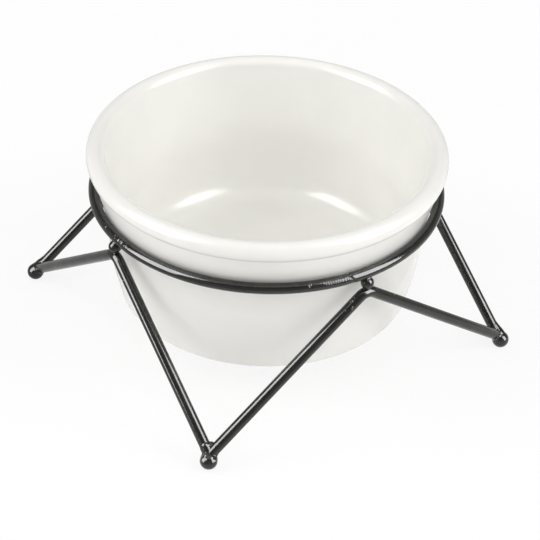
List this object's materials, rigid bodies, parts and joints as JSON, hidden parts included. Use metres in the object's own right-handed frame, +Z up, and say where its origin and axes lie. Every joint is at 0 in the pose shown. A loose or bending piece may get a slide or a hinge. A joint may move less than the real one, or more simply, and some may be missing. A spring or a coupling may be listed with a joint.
{
  "type": "raised pet food bowl",
  "caption": "Round glazed ceramic food bowl with a rolled lip that drops into a low welded wire stand with bent legs and ball feet.",
  "frame": {"origin": "on the ground, at the middle of the stand, under the bowl's axis", "axes": "+Z up along the bowl's axis; the four feet lie on the diagonals, so each bent leg stands in a plane square to X or Y, and -Y is the front"},
  "size_m": [0.1704, 0.1704, 0.0962],
  "materials": {
    "black_coated_steel": "black gloss coating over steel wire",
    "white_glazed_ceramic": "white gloss glaze"
  },
  "bodies": {
    "stand": {"stand_ring": "black_coated_steel", "leg_front": "black_coated_steel", "leg_right": "black_coated_steel", "leg_back": "black_coated_steel", "leg_left": "black_coated_steel", "spacer_ball_front": "black_coated_steel", "spacer_ball_right": "black_coated_steel", "spacer_ball_back": "black_coated_steel", "spacer_ball_left": "black_coated_steel", "foot_ball_front_left": "black_coated_steel", "foot_ball_front_right": "black_coated_steel", "foot_ball_back_right": "black_coated_steel", "foot_ball_back_left": "black_coated_steel"},
    "bowl_body": {"bowl": "white_glazed_ceramic"}
  },
  "joints": [
    {"name": "bowl_lift", "type": "slide", "parent": "stand", "child": "bowl_body", "axis": [0, 0, 1], "range_m": [0, 0.1]}
  ]
}
